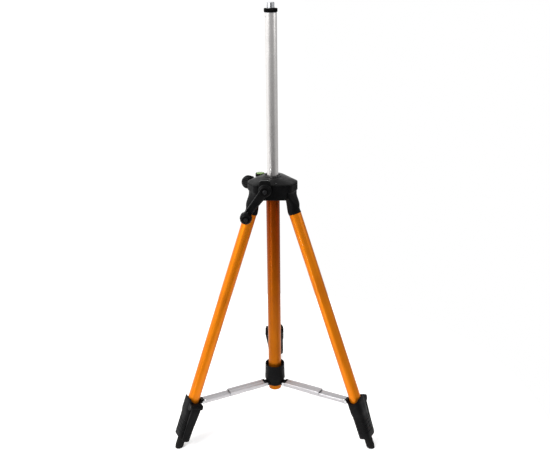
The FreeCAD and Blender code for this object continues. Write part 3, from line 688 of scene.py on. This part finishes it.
def clamp_knob():
    """Star knob with a domed end, on the axis of the clamp screw."""
    joint = JOINTS["clamp_turn"]
    out = Vector(joint["axis"])
    place = frame_at(out * CLAMP_START * MM + Vector((0, 0, joint["pos_m"][2])), (0, 0, 1), out)
    profile = [(CLAMP_BORE_R, 0), (6.2, 0), (6.8, 0.5), (10.0, 1.3), (13.2, 2.3), (14.3, 3.8),
               (CLAMP_R, 6.0), (CLAMP_R, 11.5), (14.0, 14.0), (12.6, 17.2), (10.4, 20.2),
               (8.0, 22.4), (5.4, 23.5), (CLAMP_BORE_R, 23.9)]

    def lobes(angle, height):
        fade = max(0.0, min(1.0, (height - 1.0) / 2.0, (19.0 - height) / 6.0))
        return -1.9 * fade * (0.5 - 0.5 * math.cos(CLAMP_LOBES * angle)) ** 1.6

    piece("clamp_star_knob", turned(profile, 192, True, lobes), BLACK, "clamp",
          place, ["clamp_knob"], crease=45)
    plug = [(AXIS_R, 22.6), (CLAMP_BORE_R, 22.6), (CLAMP_BORE_R, 23.6), (2.4, 23.9),
            (AXIS_R, 23.95)]
    piece("clamp_knob_plug", turned(plug, 32), BLACK_SMOOTH, "clamp", place)


# --- legs ---------------------------------------------------------------------------------
TUBE_R, INNER_R = 12.5, 8.4
LOCK_TOP = 119.0
LOCK_BOTTOM = (12.5, -16.4, 15.0)   # half width across, inner side and outer side of the body
LOCK_LOWER = (13.6, -17.5, 16.2)
LOCK_GROOVE = (12.9, -16.8, 16.0)
LOCK_UPPER = (14.6, -19.0, 17.2)
GRIP_GROOVES = (44.0, 52.0, 60.0, 68.0)
LEVER_PIVOT = (21.6, 107.0)     # round the leg, along the leg
LUG = (-21.5, 112.0)            # outward, along the leg
LUG_R, LUG_HALF = 4.3, 6.6      # lug and tongue round their pins, both strut ends
EAR_SIDES = (("in", (-13.6, -10.3)), ("out", (10.3, 13.6)))     # along the lever's pin
SCOOP_R, SCOOP_DEPTH = 14.6, 8.0
SCOOP_START, SCOOP_FADE = 98.0, 12.0


def scooped(loop):
    """The loop lowered where it would stand above the saddle of the rim."""
    lowered = []
    for n, t, s in loop:
        sink = SCOOP_R - SCOOP_DEPTH - math.sqrt(max(0.0, SCOOP_R ** 2 - min(abs(n), SCOOP_R) ** 2))
        edge = max(0.0, min(1.0, (s - SCOOP_START) / SCOOP_FADE))
        lowered.append((n, t, s + min(0.0, sink) * edge))
    return lowered


def lock_housing(leg):
    """Moulded clamp: two-step body with grip grooves, bores for both tubes, ears and strut lug."""
    sizes = [(*LOCK_BOTTOM, 28.0), (13.3, -17.2, 15.9, 28.5), (*LOCK_LOWER, 29.6)]
    for groove in GRIP_GROOVES:
        sizes += [(*LOCK_LOWER, groove - 1.6), (*LOCK_GROOVE, groove - 0.9),
                  (*LOCK_GROOVE, groove + 0.9), (*LOCK_LOWER, groove + 1.6)]
    sizes += [(*LOCK_LOWER, 78.0), (13.7, -17.7, 16.3, 80.0), (14.3, -18.7, 16.9, 85.0)]
    sizes += [(*LOCK_UPPER, s) for s in (87.0, 98.0, 104.0, 111.0, LOCK_TOP - 1.4)]
    sizes += [(14.3, -18.7, 16.9, LOCK_TOP - 0.4), (13.7, -18.1, 16.3, LOCK_TOP)]
    loops = [scooped(oval(half, low, high, s, 3.6, 96)) for half, low, high, s in sizes]
    tube_bore, inner_bore = TUBE_R + 0.25, INNER_R + 0.15
    bores = [(TUBE_R + 0.9, LOCK_TOP), (tube_bore, LOCK_TOP - 1.0), (tube_bore, 104.0),
             (tube_bore, 98.0), (tube_bore, 60.0), (inner_bore, 58.0), (inner_bore, 29.0),
             (INNER_R + 1.0, 28.0)]
    loops += [scooped(oval(r, -r, r, s, 2.0, 96)) for r, s in bores]
    piece("lock_body_" + leg, skin(loops, True), BLACK, "leg_" + leg,
          leg_frame(leg), ["lock_housing_" + leg])
    pin_t, pin_s = LEVER_PIVOT
    ear = eased([(10.0, pin_s - 10), (16.5, pin_s - 10), (pin_t + 4.9, pin_s - 4.2),
                 (pin_t + 4.9, pin_s + 4.0), (pin_t + 1.0, pin_s + 5.0), (10.0, pin_s + 5.0)], 3.0)
    for side, (low, high) in EAR_SIDES:
        plate = [[(n, t, s) for t, s in ear] for n in (low, high)]
        piece(f"lever_ear_{side}_{leg}", skin(plate), BLACK, "leg_" + leg,
              leg_frame(leg), bevel=0.7)
    lug_n, lug_s = LUG
    lug = [(-12.7, lug_s - 8.0), (-14.6, lug_s - 8.0), (-16.5, lug_s - LUG_R)]
    for step in range(9):
        a = math.radians(270 - 180 * step / 8)
        lug.append((lug_n + LUG_R * math.cos(a), lug_s + LUG_R * math.sin(a)))
    lug += [(-15.5, lug_s + LUG_R), (-12.7, lug_s + LUG_R)]
    plate = [[(n, t, s) for n, s in lug] for t in (-LUG_HALF, LUG_HALF)]
    piece("strut_lug_" + leg, skin(plate), BLACK, "leg_" + leg,
          leg_frame(leg), bevel=0.5)


def lock_lever(leg):
    """Curved flip lever with a barrel on its pin, a dished back and ridges near the tip."""
    # height along the leg, near and far side round the leg, half width
    rows = [(104.0, 17.9, 26.9, 9.7), (101.0, 17.7, 27.4, 9.9), (93.0, 17.5, 26.5, 9.9),
            (84.0, 17.35, 25.4, 9.8), (72.0, 17.2, 23.8, 9.5), (60.0, 17.1, 22.4, 9.1),
            (48.0, 16.95, 21.6, 8.8), (38.0, 16.85, 21.1, 8.6), (30.0, 17.1, 20.7, 8.4),
            (26.0, 17.5, 20.3, 8.1), (24.0, 18.0, 20.0, 7.5), (23.1, 18.6, 19.8, 6.6)]
    loops = [oval(half, low, high, s, 4.5, 48) for s, low, high, half in rows]
    shapes = [skin(loops)]
    for ridge in range(5):
        s = 28.0 + 4.0 * ridge
        ridges = []
        for n in (-7.2, -6.4, 6.4, 7.2):
            thick = 0.75 if abs(n) < 7 else 0.2
            t = 20.4 + 0.05 * ridge
            ridges.append([(n, t + thick * y, s + 1.1 * x) for x, y in circle(1.0, 12)])
        shapes.append(skin(ridges))
    pin_t, pin_s = LEVER_PIVOT
    barrel = []
    for n, r in ((-9.9, 5.4), (-9.3, 6.0), (9.3, 6.0), (9.9, 5.4)):
        barrel.append([(n, pin_t + x, pin_s + y) for x, y in circle(r, 48)])
    shapes.append(skin(barrel))
    piece("lever_blade_" + leg, joined(*shapes), BLACK, "lever_" + leg,
          leg_frame(leg), ["lock_lever_" + leg])


def foot(leg):
    """Ribbed rubber foot, its sole cut level with the floor."""
    profile = [(AXIS_R, -8), (6.6, -8), (7.4, -3.0), (8.0, 1.0)]
    for k in range(4):
        s = 3.2 + 4.3 * k
        profile += [(8.1, s), (8.7, s + 0.5), (8.7, s + 2.7), (8.1, s + 3.2)]
    profile += [(8.1, 20.6), (8.8, 21.2), (8.8, 23.2), (8.4, 24.0), (7.2, 24.0), (7.2, 40.0),
                (AXIS_R, 40.0)]
    thing = piece("rubber_foot_" + leg, turned(profile, 56), RUBBER, "inner_" + leg,
                  leg_frame(leg), ["foot_" + leg])
    grid = bmesh.new()
    grid.from_mesh(thing.data)
    everything = grid.verts[:] + grid.edges[:] + grid.faces[:]
    cut = bmesh.ops.bisect_plane(grid, geom=everything, plane_co=(0, 0, 0), plane_no=(0, 0, -1),
                                 clear_outer=True)
    edges = [item for item in cut["geom_cut"] if isinstance(item, bmesh.types.BMEdge)]
    bmesh.ops.edgeloop_fill(grid, edges=edges)
    bmesh.ops.recalc_face_normals(grid, faces=grid.faces)
    grid.to_mesh(thing.data)
    grid.free()
    thing.data.set_sharp_from_angle(angle=math.radians(32))


# --- spreader -----------------------------------------------------------------------------
HUB_R, HUB_BASE_R, HUB_BORE_R = 22.5, 18.5, 14.1
STRUT_SHEET = 0.8
STRUT_BACK = 3.0        # a half strut starts this far behind its pivot
CHANNEL = {"half": 9.2, "low": -3.0, "top": 6.0, "lip": STRUT_SHEET, "end": 90.0, "ear_from": 5.0}
BAR = {"half": 8.1, "low": -4.8, "top": 3.3, "lip": 2.2, "end": 88.0, "ear_from": 6.5}


def hub():
    """Dished collar that slides on the centre tube, with a tongue for each strut below it."""
    low, high = (corner.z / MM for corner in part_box("spreader_hub"))
    pivot = Vector(JOINTS["channel_rear_turn"]["pos_m"]) / MM
    outer, base, bore = HUB_R, HUB_BASE_R, HUB_BORE_R
    step = pivot.z + 7.5
    profile = [(bore, low), (base - 0.8, low), (base, low + 0.8), (base, step - 1.0),
               (base + 0.6, step - 0.3), (outer - 1.2, step), (outer - 0.3, step + 0.5),
               (outer, step + 1.6), (outer - 0.5, step + 12), (outer - 1.0, high - 12),
               (outer - 1.1, high - 2.2), (outer - 1.3, high - 0.6), (outer - 1.8, high),
               (outer - 2.7, high - 0.3), (outer - 3.2, high - 1.6), (18.0, high - 6.0),
               (15.6, high - 8.4), (bore + 0.4, high - 9.0), (bore, high - 9.6)]
    piece("hub_collar", turned(profile, 96, True), BLACK, "hub",
          stands_for=["spreader_hub"])
    for leg in LEGS:
        tongue = [(bore + 1.5, pivot.z - LUG_R)]
        reach = Vector(JOINTS[f"channel_{leg}_turn"]["pos_m"])
        r = math.hypot(reach.x, reach.y) / MM
        for k in range(11):
            a = math.radians(-90 + 180 * k / 10)
            tongue.append((r + LUG_R * math.cos(a), pivot.z + LUG_R * math.sin(a)))
        tongue += [(bore + 1.5, pivot.z + LUG_R)]
        plate = [[(x, y, z) for x, z in tongue] for y in (-LUG_HALF, LUG_HALF)]
        piece("hub_tongue_" + leg, skin(plate), BLACK, "hub",
              upright_frame(leg), bevel=0.6)


def strut_frame(leg, from_leg):
    """Half-strut axes: X along it from its own pivot, Z up."""
    names = [f"bar_{leg}_turn", f"channel_{leg}_turn"]
    start, end = (Vector(JOINTS[name]["pos_m"]) for name in (names if from_leg else names[::-1]))
    way = end - start
    side = Vector((-way.y, way.x, 0))
    return frame_at(start, way, way.cross(side))


def folded_sheet(half, low, top, lip, end, ear_from):
    """Sheet channel, open below, with a pressed bead on its back and rounded ears. Its edges
    turn inward by lip, or are plain where that is the sheet's thickness."""
    thick, start = STRUT_SHEET, -STRUT_BACK
    dip = top - 0.55
    outer = eased([(-half + lip, low), (-half, low), (-half, top), (-2.6, top), (-1.6, dip),
                   (1.6, dip), (2.6, top), (half, top), (half, low), (half - lip, low)],
                  1.3, 3, False)
    wall, roof, edge = half - thick, top - thick, low + thick
    inner = eased([(half - lip, edge), (wall, edge), (wall, roof), (2.4, roof), (1.4, dip - thick),
                   (-1.4, dip - thick), (-2.4, roof), (-wall, roof), (-wall, edge),
                   (-half + lip, edge)], 0.6, 3, False)
    section = outer + inner
    back = skin([[(x, y, z) for y, z in section] for x in (ear_from, end)])
    joint = ear_from + 0.5
    outline = eased([(start, -2.6), (start + 2.0, low), (joint, low), (joint, top - 0.6),
                     (start + 2.0, top - 0.6), (start, top - 2.0)], 1.6)
    ears = [skin([[(x, y * side, z) for x, z in outline] for y in (wall, half)])
            for side in (-1, 1)]
    return joined(back, *ears)


def struts(leg):
    """Both halves of a strut, and the rivet heads at its two pivots."""
    piece("strut_outer_" + leg, folded_sheet(**CHANNEL), STRUT_METAL[leg], "channel_" + leg,
          strut_frame(leg, False), ["strut_channel_" + leg])
    piece("strut_inner_" + leg, folded_sheet(**BAR), STRUT_METAL[leg], "bar_" + leg,
          strut_frame(leg, True), ["strut_bar_" + leg])
    rivet = [(AXIS_R, 0.0), (3.2, 0.0), (3.2, 0.35), (2.7, 0.9), (1.7, 1.25), (AXIS_R, 1.35)]
    for from_leg, sheet, body in ((False, CHANNEL, "hub"), (True, BAR, "leg_" + leg)):
        place = strut_frame(leg, from_leg)
        for side in (-1, 1):
            head = place @ Matrix.Translation((0, side * sheet["half"] * MM, 0))
            head = head @ Matrix.Rotation(math.radians(-90 * side), 4, "X")
            name = f"pivot_head_{'leg' if from_leg else 'hub'}_{'a' if side < 0 else 'b'}_{leg}"
            piece(name, turned(rivet, 28), RIVET_METAL, body, head)


# --- making -------------------------------------------------------------------------------
stud()
lock_disc()
pole_rivets()
head_cap()
bubble_level()
gear_cover()
crank()
clamp_knob()
hub()
for leg in LEGS:
    lock_housing(leg)
    lock_lever(leg)
    foot(leg)
    struts(leg)
soften(NODES["head_body"], 0.9)
for leg in LEGS:
    soften(NODES["knuckle_" + leg], 0.8)


# --- floor, light, camera -----------------------------------------------------------------
FLOOR_R = 0.62      # metres


def floor():
    """A plain pale round floor that the tripod stands on."""
    rim = [(x, y, 0) for x, y in circle(FLOOR_R, 96)]
    data = bpy.data.meshes.new("floor")
    data.from_pydata(rim, [], [tuple(range(len(rim)))])
    plane = bpy.data.objects.new("floor", data)
    bpy.context.collection.objects.link(plane)
    made = Surface("pale_floor", (0.97, 0.97, 0.97), 0.7)
    made.shader.inputs["Specular IOR Level"].default_value = 0.1
    made.shader.inputs["Emission Color"].default_value = (1.0, 1.0, 1.0, 1.0)
    made.shader.inputs["Emission Strength"].default_value = 0.25
    data.materials.append(made.material)


def area_light(name, place, target, width, height, power):
    """A rectangular lamp that faces its target."""
    lamp = bpy.data.lights.new(name, "AREA")
    lamp.shape = "RECTANGLE"
    lamp.size = width
    lamp.size_y = height
    lamp.energy = power
    thing = bpy.data.objects.new(name, lamp)
    thing.location = place
    thing.rotation_euler = (Vector(target) - Vector(place)).to_track_quat("-Z", "Y").to_euler()
    bpy.context.collection.objects.link(thing)


def ranged(tree, value, start, end, low, high):
    """value from start..end mapped softly to low..high, each a number or a socket."""
    made = tree.nodes.new("ShaderNodeMapRange")
    made.interpolation_type = "SMOOTHSTEP"
    for name, number in (("From Min", start), ("From Max", end), ("To Min", low), ("To Max", high)):
        if hasattr(number, "links"):
            tree.links.new(number, made.inputs[name])
        else:
            made.inputs[name].default_value = number
    tree.links.new(value, made.inputs["Value"])
    return made.outputs["Result"]


def studio():
    """White room, seen white by the camera. Its light is strong from the left, weaker from the
    right and weakest from the camera's side and below, as in a shop's photo tent."""
    world = bpy.data.worlds.new("studio")
    bpy.context.scene.world = world
    world.use_nodes = True
    tree = world.node_tree
    background = tree.nodes["Background"]
    place = tree.nodes.new("ShaderNodeTexCoord")
    parts = tree.nodes.new("ShaderNodeSeparateXYZ")
    tree.links.new(place.outputs["Generated"], parts.inputs[0])
    front = ranged(tree, parts.outputs["Z"], -0.45, 0.06, 0.08, 0.50)
    side = ranged(tree, parts.outputs["X"], -0.4, 0.8, 1.20, 0.52)
    level = ranged(tree, parts.outputs["Y"], -0.85, -0.20, front, side)
    path = tree.nodes.new("ShaderNodeLightPath")
    seen = tree.nodes.new("ShaderNodeMath")
    seen.operation = "MAXIMUM"
    tree.links.new(level, seen.inputs[0])
    tree.links.new(path.outputs["Is Camera Ray"], seen.inputs[1])
    tree.links.new(seen.outputs[0], background.inputs["Strength"])
    background.inputs["Color"].default_value = (1.0, 1.0, 1.0, 1.0)
    area_light("key", (-1.5, -1.25, 1.6), (0, 0, 0.4), 1.1, 1.1, 44)
    area_light("strip", (-1.0, -1.15, -0.35), (0, 0, 0.3), 0.05, 0.8, 4)
    area_light("fill", (1.9, -0.5, 1.3), (0, 0, 0.4), 1.2, 1.2, 7)
    bpy.context.scene.view_settings.view_transform = "Standard"


CAMERA_PLACE = (0.0037, -1.2727, 0.9371)
CAMERA_PITCH = 20.37        # degrees below the horizon
CAMERA_ROLL = -0.63
CAMERA_TURN = 1.04          # round the column
CAMERA_LENS = 42.78


def camera():
    """Camera in front of the tripod, looking down on it as the photograph does."""
    data = bpy.data.cameras.new("camera")
    data.lens = CAMERA_LENS
    data.sensor_width = 36.0
    thing = bpy.data.objects.new("camera", data)
    turn = Matrix.Rotation(math.radians(CAMERA_TURN), 4, "Z")
    pitch = Matrix.Rotation(math.radians(90 - CAMERA_PITCH), 4, "X")
    roll = Matrix.Rotation(math.radians(CAMERA_ROLL), 4, "Z")
    thing.matrix_world = turn @ Matrix.Translation(CAMERA_PLACE) @ pitch @ roll
    bpy.context.collection.objects.link(thing)
    bpy.context.scene.camera = thing


floor()
studio()
camera()
